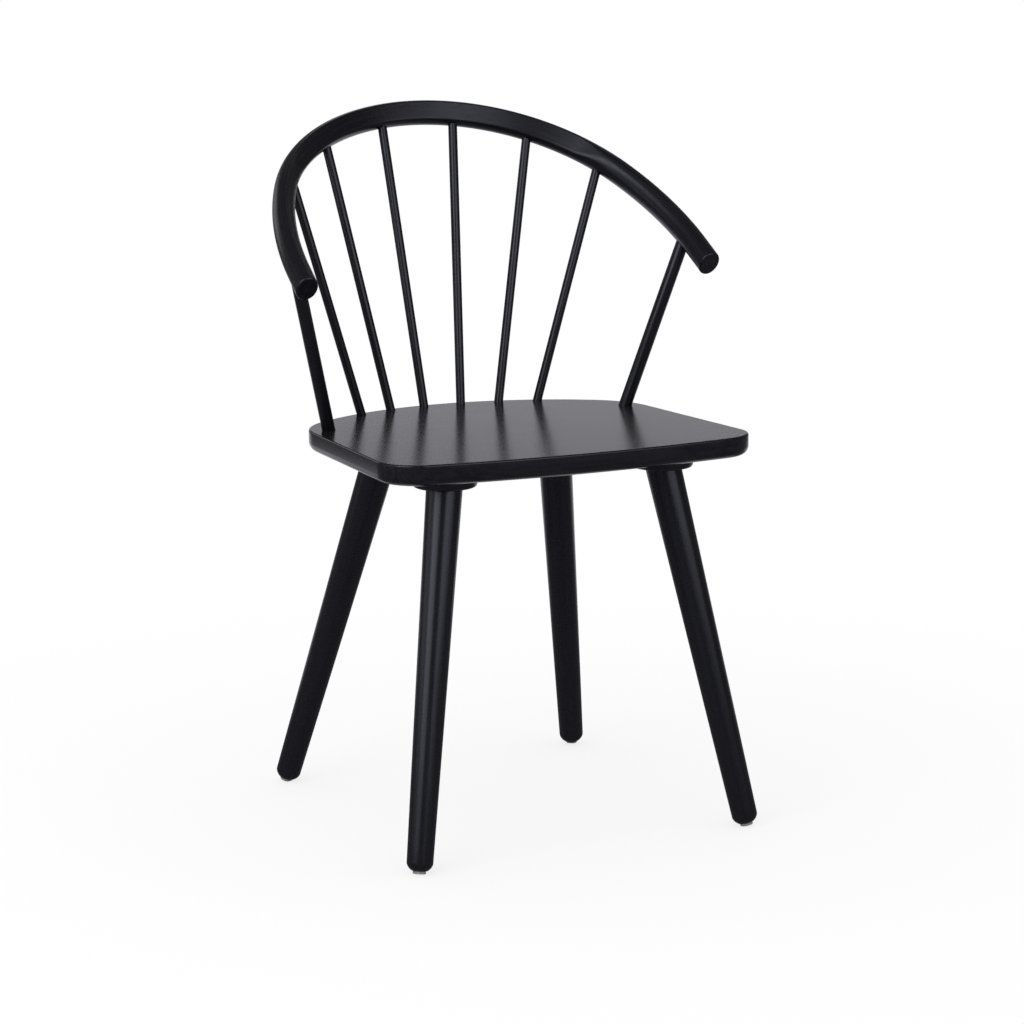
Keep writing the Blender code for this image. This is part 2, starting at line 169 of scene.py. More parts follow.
SEAT_BOTTOM = SEAT_HEIGHT - SEAT_THICKNESS
BLOCK_TOP = SEAT_BOTTOM - GAP
BLOCK_BOTTOM = BLOCK_TOP - BLOCK_THICKNESS
LEG_TOP = BLOCK_BOTTOM - GAP
# Longer than any outline, so following one this far comes to its end
WHOLE_WAY = 9.0


def follow(segments, distance):
    """Point and heading this far along arcs and straights that start toward +X and turn toward -Y."""
    x = y = turn = 0.0
    for length, radius in segments:
        part = min(distance, length)
        if radius:
            after = turn + part / radius
            x += radius * (math.sin(after) - math.sin(turn))
            y += radius * (math.cos(after) - math.cos(turn))
            turn = after
        else:
            x += part * math.cos(turn)
            y -= part * math.sin(turn)
        distance -= part
        if distance <= 0.0:
            break
    return x, y, turn


SEAT_SIDE_TURN = math.pi / 2 - SEAT_SIDE_FLARE
SEAT_SHAPE = [
    (SEAT_BACK_RADIUS * SEAT_BACK_TURN, SEAT_BACK_RADIUS),
    (SEAT_SHOULDER_RADIUS * (SEAT_SIDE_TURN - SEAT_BACK_TURN), SEAT_SHOULDER_RADIUS),
    (SEAT_SIDE_LENGTH, None),
    (SEAT_CORNER_RADIUS * (math.pi - SEAT_FRONT_BOW - SEAT_SIDE_TURN), SEAT_CORNER_RADIUS),
]
CORNER_X = follow(SEAT_SHAPE, WHOLE_WAY)[0]
SEAT_FRONT_RADIUS = CORNER_X / math.sin(SEAT_FRONT_BOW)
SEAT_SHAPE.append((SEAT_FRONT_RADIUS * SEAT_FRONT_BOW, SEAT_FRONT_RADIUS))
SEAT_FRONT = SEAT_BACK_REACH + follow(SEAT_SHAPE, WHOLE_WAY)[1]

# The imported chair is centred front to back, so its seat says how far it was moved
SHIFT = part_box("seat")[0].y - SEAT_FRONT


def seat_point(distance, inset=0.0):
    """Point of the seat's right half, moved in from the edge."""
    x, y, turn = follow(SEAT_SHAPE, distance)
    return x - inset * math.sin(turn), SEAT_BACK_REACH + SHIFT + y - inset * math.cos(turn)


# Widest point of the seat, sought along its outline in steps of 1 mm
SEAT_HALF_WIDTH = max(seat_point(0.001 * i)[0] for i in range(1000))


def rounded(centre_r, centre_z, radius, start, end, steps):
    """Profile points on an arc, angles in degrees from +X toward +Z."""
    turns = [math.radians(start + (end - start) * i / steps) for i in range(steps + 1)]
    return [(centre_r + radius * math.cos(t), centre_z + radius * math.sin(t)) for t in turns]


def lofted(name, rings_of_points, rings_of_grain=None):
    """Closed solid through rings of points, capped at both ends, with their places in the wood if given.

    A place in the wood is (along, across, deep) in metres. It is kept in two maps, without a seam.
    """
    bm = bmesh.new()
    rings = [[bm.verts.new(p) for p in ring] for ring in rings_of_points]
    count = len(rings[0])
    for before, after in zip(rings, rings[1:]):
        for i in range(count):
            j = (i + 1) % count
            bm.faces.new((before[i], before[j], after[j], after[i]))
    bm.faces.new(rings[0])
    bm.faces.new(reversed(rings[-1]))
    bmesh.ops.recalc_face_normals(bm, faces=bm.faces)
    if rings_of_grain:
        grain = {}
        for ring, places in zip(rings, rings_of_grain):
            grain.update(zip(ring, places))
        plane = bm.loops.layers.uv.new(GRAIN_MAP)
        depth = bm.loops.layers.uv.new(DEPTH_MAP)
        for face in bm.faces:
            for loop in face.loops:
                along, across, deep = grain[loop.vert]
                loop[plane].uv = (along, across)
                loop[depth].uv = (deep, 0.0)
    mesh = bpy.data.meshes.new(name)
    bm.to_mesh(mesh)
    bm.free()
    return mesh


def round_the_axis(sizes):
    """Ring of points round Z, the i-th at its own (radius, height)."""
    ring = []
    for i, (r, z) in enumerate(sizes):
        t = 2.0 * math.pi * i / len(sizes)
        ring.append(Vector((r * math.cos(t), r * math.sin(t), z)))
    return ring


def along_grain(ring, grain_from):
    """Places in wood whose grain runs along the ring's axis."""
    return [(p.z + grain_from[0], p.x + grain_from[1], p.y + grain_from[2]) for p in ring]


def turned(name, profile, sides, start, axis, grain_from=(0.0, 0.0, 0.0)):
    """Solid turned round the axis, its profile of (radius, height) running from one end to the other."""
    turn = axis.to_track_quat("Z", "Y").to_matrix()
    rings = [round_the_axis([size] * sides) for size in profile]
    return lofted(
        name,
        [[start + turn @ p for p in ring] for ring in rings],
        [along_grain(ring, grain_from) for ring in rings],
    )


def piece(name, mesh, nodes, material, cutters=()):
    """Adds a piece in the place of its CAD nodes."""
    obj = bpy.data.objects.new(name, mesh)
    bpy.context.scene.collection.objects.link(obj)
    if cutters:
        drill(obj, cutters)
    obj.data.shade_smooth()
    obj.data.set_sharp_from_angle(angle=SHARP_ANGLE)
    obj.data.materials.clear()
    obj.data.materials.append(material)
    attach(obj, "root")
    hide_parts(*nodes)


def drill(obj, cutters):
    """Takes the cutter meshes out of the object's mesh."""
    hold = bpy.data.collections.new("cutters")
    bpy.context.scene.collection.children.link(hold)
    made = []
    for mesh in cutters:
        cutter = bpy.data.objects.new("cutter", mesh)
        hold.objects.link(cutter)
        made.append(cutter)
    modifier = obj.modifiers.new("drill", "BOOLEAN")
    modifier.operation = "DIFFERENCE"
    modifier.solver = "EXACT"
    modifier.operand_type = "COLLECTION"
    modifier.collection = hold
    bpy.context.view_layer.update()
    result = bpy.data.meshes.new_from_object(
        obj.evaluated_get(bpy.context.evaluated_depsgraph_get())
    )
    obj.modifiers.clear()
    obj.data = result
    for cutter in made:
        bpy.data.objects.remove(cutter)
    bpy.data.collections.remove(hold)


def bar(name, radius, start, end, sides, edge=0.0, grain_from=(0.0, 0.0, 0.0)):
    """Round bar between two points, its rims rounded."""
    length = (end - start).length
    profile = [(radius, 0.0), (radius, length)]
    if edge:
        profile = (
            [(radius - edge - ROD_FACE_INSET, 0.0)]
            + rounded(radius - edge, edge, edge, -90, 0, 4)
            + rounded(radius - edge, length - edge, edge, 0, 90, 4)
            + [(radius - edge - ROD_FACE_INSET, length)]
        )
    return turned(name, profile, sides, start, (end - start).normalized(), grain_from)


# Bow centre line and sections
BOW_SHAPE = [
    (BOW_BACK_RADIUS * BOW_BACK_TURN, BOW_BACK_RADIUS),
    (BOW_ARM_RADIUS * BOW_ARM_TURN, BOW_ARM_RADIUS),
    (BOW_ARM_STRAIGHT, None),
]
BOW_HALF_LENGTH = sum(length for length, _ in BOW_SHAPE)
UP_SLOPE = Vector((0.0, math.cos(BOW_TILT), math.sin(BOW_TILT)))
BOW_NORMAL = Vector((0.0, -math.sin(BOW_TILT), math.cos(BOW_TILT)))


def bow_station(distance):
    """Centre and outward direction of the bow, this far from the middle of its back, + to the right."""
    side = -1.0 if distance < 0.0 else 1.0
    x, y, turn = follow(BOW_SHAPE, abs(distance))
    centre = Vector((side * x, SHIFT, BOW_LEVEL)) + (BOW_REACH + y) * UP_SLOPE
    outward = Vector((side * math.sin(turn), 0.0, 0.0)) + math.cos(turn) * UP_SLOPE
    return centre, outward


def flat_depth(distance):
    """Depth of the planed flat, full across the backrest and run out to nothing at the arms."""
    along = min(max((abs(distance) - FLAT_FULL) / FLAT_RUNOUT, 0.0), 1.0)
    return FLAT_DEPTH * (1.0 - along * along * (3.0 - 2.0 * along))


def smooth_least(a, b, softness):
    """The smaller of two lengths, blended where they are close."""
    share = min(max(0.5 + 0.5 * (b - a) / softness, 0.0), 1.0)
    return b + (a - b) * share - softness * share * (1.0 - share)


def bow_ring(distance, shrink):
    """Oval section with one planed flat whose ridges are softened, and its places in the wood."""
    centre, outward = bow_station(distance)
    across = BOW_WIDTH / 2 - shrink
    tall = BOW_HEIGHT / 2 - shrink
    reach = math.hypot(across * math.cos(FLAT_TURN), tall * math.sin(FLAT_TURN))
    middle = math.atan2(tall * math.sin(FLAT_TURN), -across * math.cos(FLAT_TURN))
    depth = flat_depth(distance)
    half = math.acos(1.0 - depth / reach)
    length = math.hypot(tall * math.cos(middle), across * math.sin(middle))
    normal = (tall * math.cos(middle) / length, across * math.sin(middle) / length)
    plane = across * tall * math.cos(half) / length
    softness = FLAT_SOFTNESS * min(1.0, depth / FLAT_SOFT_FROM)
    ring = []
    places = []
    for i in range(BOW_SIDES):
        turn = 2.0 * math.pi * i / BOW_SIDES
        x = across * math.cos(turn)
        y = tall * math.sin(turn)
        out = normal[0] * x + normal[1] * y
        if softness > SOFTNESS_LEAST:
            move = out - smooth_least(out, plane, softness)
        else:
            move = max(0.0, out - plane)
        x -= move * normal[0]
        y -= move * normal[1]
        ring.append(centre + x * outward + y * BOW_NORMAL)
        places.append((distance, x, y))
    return ring, places


def rod_line(foot, distance, diameter):
    """Start, end and radius of a rod whose axis runs from foot, on the seat, to the bow's centre."""
    low = Vector((foot[0], foot[1], SEAT_HEIGHT))
    high = bow_station(distance)[0]
    axis = (high - low).normalized()
    start = low - axis * (SEAT_THICKNESS - SEAT_FLOOR) / axis.z
    return start, high + axis * ROD_PAST_CENTRE, diameter / 2


def rods():
    """Start, end and radius of every rod, by name."""
    lines = {}
    for side, sign in (("left", -1.0), ("right", 1.0)):
        for i, (turn, top) in enumerate(zip(SPINDLE_FOOT_TURNS, SPINDLE_TOPS)):
            x, y = seat_point(SEAT_BACK_RADIUS * math.radians(turn), SPINDLE_INSET)
            lines[f"spindle_{side}_{i + 1}"] = rod_line(
                (sign * x, y), sign * top, SPINDLE_DIAMETER
            )
        x, y = seat_point(SEAT_SHAPE[0][0] + SEAT_SHAPE[1][0] - POST_SETBACK, POST_INSET)
        lines[f"end_post_{side}"] = rod_line((sign * x, y), sign * POST_TOP, POST_DIAMETER)
    return lines


ROD_LINES = rods()


def rod_cutters():
    """Every rod's hole, in the seat and in the bow."""
    made = []
    for start, end, radius in ROD_LINES.values():
        axis = (end - start).normalized()
        made.append(bar("hole", radius + GAP, start - GAP * axis, end + GAP * axis, ROD_SIDES))
    return made


def add_node(tree, kind, inputs=(), **settings):
    """Adds a node with its settings. An input's value is a socket to link or a number to set."""
    made = tree.nodes.new("ShaderNode" + kind)
    for key, value in settings.items():
        setattr(made, key, value)
    for key, value in dict(inputs).items():
        if isinstance(value, bpy.types.NodeSocket):
            tree.links.new(value, made.inputs[key])
        else:
            made.inputs[key].default_value = value
    return made


def math_node(tree, operation, *values):
    """Result of one math node on sockets and numbers."""
    return add_node(tree, "Math", dict(enumerate(values)), operation=operation).outputs[0]


def map_range(tree, value, low, high, to_low, to_high):
    """A value moved from one range to another, smooth at both ends."""
    inputs = {"Value": value, "From Min": low, "From Max": high, "To Min": to_low, "To Max": to_high}
    return add_node(tree, "MapRange", inputs, interpolation_type="SMOOTHSTEP").outputs["Result"]


def noise(tree, place, scales, detail=2.0, roughness=0.5, distortion=0.0):
    """Noise from 0 to 1 over a place in metres, its scales in cells a metre along, across and deep."""
    stretched = add_node(tree, "Mapping", {"Vector": place, "Scale": scales})
    inputs = {
        "Vector": stretched.outputs["Vector"],
        "Scale": 1.0,
        "Detail": detail,
        "Roughness": roughness,
        "Distortion": distortion,
    }
    return add_node(tree, "TexNoise", inputs, noise_dimensions="3D").outputs["Fac"]


def wood_place(tree):
    """The (along, across, deep) place that every piece carries."""
    plane = add_node(tree, "UVMap", uv_map=GRAIN_MAP)
    depth = add_node(tree, "UVMap", uv_map=DEPTH_MAP)
    first = add_node(tree, "SeparateXYZ", {"Vector": plane.outputs["UV"]})
    second = add_node(tree, "SeparateXYZ", {"Vector": depth.outputs["UV"]})
    joined = add_node(
        tree,
        "CombineXYZ",
        {"X": first.outputs["X"], "Y": first.outputs["Y"], "Z": second.outputs["X"]},
    )
    return joined.outputs["Vector"]


def object_place(tree):
    """Place on a small part that has no grain."""
    return add_node(tree, "TexCoord").outputs["Object"]


def new_material(name):
    """Empty material with its principled shader."""
    made = bpy.data.materials.new(name)
    made.use_nodes = True
    return made, made.node_tree, made.node_tree.nodes["Principled BSDF"]


def shade(tree, dark, light, share):
    """Colour between two by a 0 to 1 share."""
    ramp = add_node(tree, "ValToRGB", {"Fac": share})
    ramp.color_ramp.elements[0].color = (*dark, 1.0)
    ramp.color_ramp.elements[1].color = (*light, 1.0)
    return ramp.outputs["Color"]


def bumped(tree, shader, layers):
    """Chains bumps of (height, metres deep) into the shader's normal."""
    normal = None
    for height, deep in layers:
        inputs = {"Height": height, "Distance": deep, "Strength": 1.0}
        if normal:
            inputs["Normal"] = normal
        normal = add_node(tree, "Bump", inputs).outputs["Normal"]
    tree.links.new(normal, shader.inputs["Normal"])


# Cast of the black finishes in what they mirror, and how much of it they mirror
BLUISH = (0.83, 0.85, 1.0, 1.0)
LACQUER_MIRRORS = 0.59
COAT_MIRRORS = 0.64

# Share of the slow figure in the lacquer's tone, where fine streaks are the rest
FIGURE_SHARE = 0.65

# How far each pattern moves the roughness. Cloud, tone, coat and scratches move it about its middle
CLOUD_GLOSS = 0.10
TONE_GLOSS = 0.05
PORE_GLOSS = 0.12
COAT_CLOUD_GLOSS = 0.12
COAT_GRAIN_GLOSS = 0.06
DIRT_GLOSS = 0.15
SCRATCH_GLOSS = 0.20


def lacquer(name, dark, light, roughness, mottle, pore_depth, figure_depth, peel_depth):
    """Black lacquer over wood, whose pores and figure show through the thin uneven film."""
    made, tree, shader = new_material(name)
    shader.inputs["Specular IOR Level"].default_value = LACQUER_MIRRORS
    shader.inputs["Specular Tint"].default_value = BLUISH
    place = wood_place(tree)
    pores = noise(tree, place, (70.0, 1500.0, 1500.0), 2.0, 0.6)
    pores = map_range(tree, pores, 0.30, 0.46, 0.0, 1.0)
    figure = noise(tree, place, (5.0, 260.0, 90.0), 3.0, 0.55, 0.6)
    streaks = noise(tree, place, (11.0, 620.0, 620.0), 2.0, 0.5)
    cloud = noise(tree, place, (16.0, 40.0, 40.0), 3.0, 0.6)
    peel = noise(tree, place, (520.0, 620.0, 620.0), 1.0, 0.4)
    rest = math_node(tree, "MULTIPLY", streaks, 1.0 - FIGURE_SHARE)
    tone = math_node(tree, "MULTIPLY_ADD", figure, FIGURE_SHARE, rest)
    tone = map_range(tree, tone, 0.34, 0.66, 0.0, 1.0)
    tree.links.new(shade(tree, dark, light, tone), shader.inputs["Base Color"])
    worn = math_node(tree, "MULTIPLY_ADD", cloud, CLOUD_GLOSS, -CLOUD_GLOSS / 2 - TONE_GLOSS / 2)
    worn = math_node(tree, "MULTIPLY_ADD", tone, TONE_GLOSS, worn)
    worn = math_node(tree, "MULTIPLY_ADD", math_node(tree, "SUBTRACT", 1.0, pores), PORE_GLOSS, worn)
    rough = math_node(tree, "MULTIPLY_ADD", worn, mottle, roughness)
    tree.links.new(rough, shader.inputs["Roughness"])
    bumped(tree, shader, [(peel, peel_depth), (tone, figure_depth), (pores, pore_depth)])
    return made


def powder_coat(name, dark, light, roughness):
    """Satin black powder coat: a fine even orange peel with sparse coarser grains."""
    made, tree, shader = new_material(name)
    shader.inputs["Specular IOR Level"].default_value = COAT_MIRRORS
    shader.inputs["Specular Tint"].default_value = BLUISH
    place = wood_place(tree)
    peel = noise(tree, place, (900.0, 1300.0, 1300.0), 2.0, 0.5)
    grains = noise(tree, place, (2600.0, 3200.0, 3200.0), 1.0, 0.5)
    cloud = noise(tree, place, (22.0, 60.0, 60.0), 3.0, 0.6)
    tree.links.new(shade(tree, dark, light, cloud), shader.inputs["Base Color"])
    smoothest = roughness - COAT_CLOUD_GLOSS / 2 - COAT_GRAIN_GLOSS / 2
    rough = math_node(tree, "MULTIPLY_ADD", cloud, COAT_CLOUD_GLOSS, smoothest)
    rough = math_node(tree, "MULTIPLY_ADD", grains, COAT_GRAIN_GLOSS, rough)
    tree.links.new(rough, shader.inputs["Roughness"])
    bumped(tree, shader, [(peel, 0.00004), (grains, 0.00001)])
    return made


def moulded_plastic(name, dark, light, roughness):
    """Matte moulded plastic with a fine spark-eroded skin and some rubbed-in dirt."""
    made, tree, shader = new_material(name)
    place = object_place(tree)
    skin = noise(tree, place, (4200.0, 4200.0, 4200.0), 2.0, 0.5)
    dirt = map_range(tree, noise(tree, place, (500.0, 420.0, 420.0), 4.0, 0.65), 0.35, 0.75, 0.0, 1.0)
    tree.links.new(shade(tree, light, dark, dirt), shader.inputs["Base Color"])
    rough = math_node(tree, "MULTIPLY_ADD", dirt, DIRT_GLOSS, roughness)
    tree.links.new(rough, shader.inputs["Roughness"])
    bumped(tree, shader, [(skin, 0.00002)])
    return made


def zinc_plate(name, dark, light, roughness):
    """Zinc plated steel, cold formed, with a faint yellow and blue bloom."""
    made, tree, shader = new_material(name)
    place = object_place(tree)
    bloom = noise(tree, place, (240.0, 240.0, 240.0), 3.0, 0.6)
    scratches = noise(tree, place, (3000.0, 300.0, 300.0), 2.0, 0.6)
    tree.links.new(shade(tree, dark, light, bloom), shader.inputs["Base Color"])
    rough = math_node(tree, "MULTIPLY_ADD", scratches, SCRATCH_GLOSS, roughness - SCRATCH_GLOSS / 2)
    tree.links.new(rough, shader.inputs["Roughness"])
    shader.inputs["Metallic"].default_value = 1.0
    bumped(tree, shader, [(scratches, 0.00001)])
    return made


SEAT_LACQUER = lacquer(
    "seat_lacquer_detail",
    (0.0024, 0.0023, 0.0037),
    (0.0072, 0.0069, 0.0090),
    roughness=0.21,
    mottle=0.25,
    pore_depth=0.0000012,
    figure_depth=0.0000015,
    peel_depth=0.0000015,
)
BOW_LACQUER = lacquer(
    "bow_lacquer_detail",
    (0.0022, 0.0022, 0.0037),
    (0.0070, 0.0069, 0.0088),
    roughness=0.29,
    mottle=1.0,
    pore_depth=0.000030,
    figure_depth=0.000020,
    peel_depth=0.000010,
)
LEG_LACQUER = lacquer(
    "leg_lacquer_detail",
    (0.0036, 0.0036, 0.0054),
    (0.0056, 0.0056, 0.0076),
    roughness=0.26,
    mottle=0.4,
    pore_depth=0.000007,
    figure_depth=0.000006,
    peel_depth=0.000008,
)
ROD_PAINT = powder_coat(
    "rod_paint_detail", (0.0028, 0.0028, 0.0040), (0.0048, 0.0048, 0.0062), roughness=0.26
)
GLIDE_PLASTIC = moulded_plastic(
    "glide_plastic_detail", (0.17, 0.145, 0.145), (0.28, 0.24, 0.24), roughness=0.50
)
ZINC_STEEL = zinc_plate(
    "zinc_steel_detail", (0.52, 0.53, 0.56), (0.66, 0.64, 0.58), roughness=0.32
)


def make_seat():
    """The plate, ring by ring from its underside up, its lower rounding wide, its upper one narrow."""
    half = []
    travelled = 0.0
    for length, radius in SEAT_SHAPE:
        steps = max(1, round(length / (OUTLINE_STEP if radius else 4.0 * OUTLINE_STEP)))
        half += [travelled + length * i / steps for i in range(steps)]
        travelled += length
    half.append(travelled)
    low = SEAT_LOWER_EDGE
    top = SEAT_TOP_EDGE
    profile = [(low + FACE_INSET, 0.0)]
    for degrees in range(0, 91, 6):
        turn = math.radians(degrees)
        profile.append((low - low * math.sin(turn), low - low * math.cos(turn)))
    for degrees in range(0, 91, 10):
        turn = math.radians(degrees)
        profile.append((top - top * math.cos(turn), SEAT_THICKNESS - top + top * math.sin(turn)))
    profile.append((top + FACE_INSET, SEAT_THICKNESS))
    rings = []
    for inset, height in profile:
        right = [seat_point(d, inset) for d in half]
        ring = right + [(-x, y) for x, y in reversed(right[1:-1])]
        rings.append([Vector((x, y, SEAT_BOTTOM + height)) for x, y in ring])
    mesh = lofted("seat_plate", rings, [[tuple(p) for p in ring] for ring in rings])
    piece("seat_plate", mesh, ["seat"], SEAT_LACQUER, rod_cutters())


def make_bow():
    """The bow through its stations, half of them mirrored, with both ends rounded in."""
    stations = []
    travelled = 0.0
    for length, _ in BOW_SHAPE:
        steps = round(length / BOW_STEP)
        stations += [(travelled + length * i / steps, 0.0) for i in range(steps)]
        travelled += length
    stations = [s for s in stations if s[0] < BOW_HALF_LENGTH - BOW_END_EDGE]
    for i in range(BOW_END_STEPS + 1):
        turn = math.pi / 2 * i / BOW_END_STEPS
        back = BOW_END_EDGE * (1.0 - math.sin(turn))
        stations.append((BOW_HALF_LENGTH - back, BOW_END_EDGE * (1.0 - math.cos(turn))))
    stations.append((BOW_HALF_LENGTH, BOW_END_EDGE + BOW_FACE_INSET))
    stations = [(-s, shrink) for s, shrink in reversed(stations[1:])] + stations
    made = [bow_ring(s, shrink) for s, shrink in stations]
    mesh = lofted("bow", [ring for ring, _ in made], [places for _, places in made])
    piece("bow", mesh, ["back_bow"], BOW_LACQUER, rod_cutters())


def make_rods():
    """The spindles and end posts, each with its own stretch of grain."""
    for i, (name, (start, end, radius)) in enumerate(ROD_LINES.items()):
        grain_from = (0.7 * i, 0.1 * i, 0.3)
        mesh = bar(name + "_rod", radius, start, end, ROD_SIDES, ROD_END_EDGE, grain_from)
        piece(name + "_rod", mesh, [name], ROD_PAINT)


def leg_mesh(name, foot, top, axis, grain_from):
    """Tapered leg up from its foot, each line along it ending in the level face at its top."""
    length = (top - foot).length
    slope = (LEG_TOP_DIAMETER - LEG_FOOT_DIAMETER) / 2 / length
    face = FOOT_FACE_DIAMETER / 2
    rim = LEG_FOOT_DIAMETER / 2 + slope * FOOT_CHAMFER
    turn = axis.to_track_quat("Z", "Y").to_matrix()
    foot_profile = [(face - FACE_INSET, 0.0)]
    for i in range(FOOT_STEPS + 1):
        t = math.pi / 2 * i / FOOT_STEPS
        rise = FOOT_STRAIGHT * math.sin(t) + (1.0 - FOOT_STRAIGHT) * (1.0 - math.cos(t))
        foot_profile.append((face + (rim - face) * math.sin(t), FOOT_CHAMFER * rise))
    rings = [[size] * LEG_SIDES for size in foot_profile]
    ends = []
    for i in range(LEG_SIDES):
        t = 2.0 * math.pi * i / LEG_SIDES
        direction = turn @ Vector((math.cos(t), math.sin(t), 0.0))
        # Height along the axis where this side of the cone reaches the level of the top
        z = (LEG_TOP - foot.z - LEG_FOOT_DIAMETER / 2 * direction.z) / (
            axis.z + slope * direction.z
        )
        ends.append(z)
    for k in range(1, LEG_RINGS + 1):
        ring = []
        for end in ends:
            z = FOOT_CHAMFER + (end - FOOT_CHAMFER) * k / LEG_RINGS
            ring.append((LEG_FOOT_DIAMETER / 2 + slope * z, z))
        rings.append(ring)
    rings = [round_the_axis(ring) for ring in rings]
    return lofted(
        name,
        [[foot + turn @ p for p in ring] for ring in rings],
        [along_grain(ring, grain_from) for ring in rings],
    )


def glide_mesh(name, start, axis):
    """Disc with a pin up into the foot, its low side worn level with the floor."""
    r = GLIDE_SHOWN_DIAMETER / 2
    pin = GLIDE_PIN_DIAMETER / 2
    top = GLIDE_THICKNESS
    profile = (
        [(AXIS_RADIUS, top + GLIDE_PIN_LENGTH), (pin, top + GLIDE_PIN_LENGTH), (pin, top)]
        + rounded(r - GLIDE_EDGE, top - GLIDE_EDGE, GLIDE_EDGE, 90, 0, 6)
        + rounded(r - GLIDE_EDGE, GLIDE_EDGE, GLIDE_EDGE, 0, -90, 6)
        + [(AXIS_RADIUS, 0.0)]
    )
    mesh = turned(name, profile, GLIDE_SIDES, start, axis)
    bm = bmesh.new()
    bm.from_mesh(mesh)
    geometry = bm.verts[:] + bm.edges[:] + bm.faces[:]
    split = bmesh.ops.bisect_plane(
        bm, geom=geometry, plane_co=(0, 0, 0), plane_no=(0, 0, 1), clear_inner=True
    )
    rim = [e for e in split["geom_cut"] if isinstance(e, bmesh.types.BMEdge)]
    if rim:
        bmesh.ops.edgeloop_fill(bm, edges=rim)
    bmesh.ops.recalc_face_normals(bm, faces=bm.faces)
    bm.to_mesh(mesh)
    bm.free()
    return mesh


def screw_profile(length, wider=0.0):
    """Countersunk screw standing on its head, or its hole when wider is the clearance."""
    head = SCREW_HEAD_DIAMETER / 2 + wider
    shank = SCREW_DIAMETER / 2 + wider
    # A hole goes on out of the block's face, so that its cutter passes through it
    outer = -4.0 * wider
    return [
        (SCREW_AXIS_RADIUS, length + wider),
        (shank / 2, length + wider),
        (shank, length + wider - SCREW_POINT),
        (shank, SCREW_HEAD_DEPTH + wider),
        (head, SCREW_RIM + wider),
        (head, outer),
        (SCREW_AXIS_RADIUS, outer),
    ]


def recess_cutters(at, turn):
    """Two tapered blades that make a cross recess in a screw's head."""
    made = []
    for quarter in (0.0, math.pi / 2):
        rotation = Matrix.Rotation(turn + quarter, 3, "Z")
        rings = []
        for depth, share in RECESS_TAPER:
            span = RECESS_SPAN / 2 * share
            wide = RECESS_WIDTH / 2 * (0.6 + 0.4 * share)
            ring = [(span, wide), (-span, wide), (-span, -wide), (span, -wide)]
            rings.append([at + rotation @ Vector((x, y, depth)) for x, y in ring])
        made.append(lofted("recess", rings))
    return made


def block_mesh(name, profile, at, grain_from):
    """Turned block, its grain running left to right as in the seat above it."""
    rings = [round_the_axis([size] * BLOCK_SIDES) for size in profile]
    return lofted(
        name,
        [[at + p for p in ring] for ring in rings],
        [[tuple(p + Vector(grain_from)) for p in ring] for ring in rings],
    )


def make_leg(place_name, sign, fore, inset, lean, toe):
    """One leg with its block, glide and two screws. fore is -1 at the front, 1 at the back."""
    edge = SEAT_FRONT if fore < 0.0 else SEAT_BACK_REACH
    top = Vector((sign * (SEAT_HALF_WIDTH - inset[0]), edge + SHIFT - fore * inset[1], LEG_TOP))
    level = Vector((sign * math.cos(toe), fore * math.sin(toe), 0.0))
    axis = Vector((0.0, 0.0, math.cos(lean))) - math.sin(lean) * level
    cross = Vector((-level.y, level.x, 0.0))

    # Every leg is cut from its own piece of wood
    grain_from = (1.3 * sign + 2.1 * fore, 0.4 * sign, 0.7 * fore)

    rim_drop = GLIDE_DIAMETER / 2 * math.sin(lean)
    glide_at = top - axis * (LEG_TOP - rim_drop + GLIDE_FLATTENED) / math.cos(lean)
    name = f"glide_{place_name}"
    piece(name + "_pad", glide_mesh(name, glide_at, axis), [name], GLIDE_PLASTIC)

    foot = glide_at + axis * (GLIDE_THICKNESS + GAP)
    name = f"leg_{place_name}"
    pin_hole = bar(
        "pin_hole",
        GLIDE_PIN_DIAMETER / 2 + GAP,
        foot - PIN_HOLE_LEAD * axis,
        foot + GLIDE_PIN_LENGTH * axis,
        SCREW_SIDES,
    )
    mesh = leg_mesh(name + "_turned", foot, top, axis, grain_from)
    piece(name + "_turned", mesh, [name], LEG_LACQUER, [pin_hole])

    block_at = top + axis * (GAP + BLOCK_THICKNESS / 2) / math.cos(lean)
    block_at.z = BLOCK_BOTTOM
    r = BLOCK_DIAMETER / 2
    low = BLOCK_LOWER_EDGE
    high = BLOCK_TOP_EDGE
    profile = (
        [(r - low - FACE_INSET, 0.0)]
        + rounded(r - low, low, low, -90, 0, 12)
        + rounded(r - high, BLOCK_THICKNESS - high, high, 0, 90, 4)
        + [(r - high - FACE_INSET, BLOCK_THICKNESS)]
    )
    up = Vector((0.0, 0.0, 1.0))
    screw_length = BLOCK_THICKNESS + GAP + SEAT_THICKNESS - SCREW_CEILING
    holes = []
    for i, way in enumerate((-1.0, 1.0)):
        at = block_at + way * SCREW_SPREAD * cross + Vector((0.0, 0.0, GAP))
        holes.append(turned("screw_hole", screw_profile(screw_length, GAP), SCREW_SIDES, at, up))
        screw = f"block_screw_{place_name}_{i + 1}"
        mesh = turned(screw + "_driven", screw_profile(screw_length), SCREW_SIDES, at, up)
        # No two screws stopped at the same turn
        turn = 0.6 + 1.1 * i + 0.9 * sign + 0.4 * fore
        piece(
            screw + "_driven", mesh, [screw], ZINC_STEEL, recess_cutters(at, turn)
        )
    name = f"leg_block_{place_name}"
    mesh = block_mesh(name + "_turned", profile, block_at, grain_from)
    piece(name + "_turned", mesh, [name], LEG_LACQUER, holes)


make_seat()
make_bow()
make_rods()
for side, sign in (("left", -1.0), ("right", 1.0)):
    make_leg(f"front_{side}", sign, -1.0, FRONT_LEG_INSET, FRONT_LEG_LEAN, FRONT_LEG_TOE)
    make_leg(f"back_{side}", sign, 1.0, BACK_LEG_INSET, BACK_LEG_LEAN, BACK_LEG_TOE)

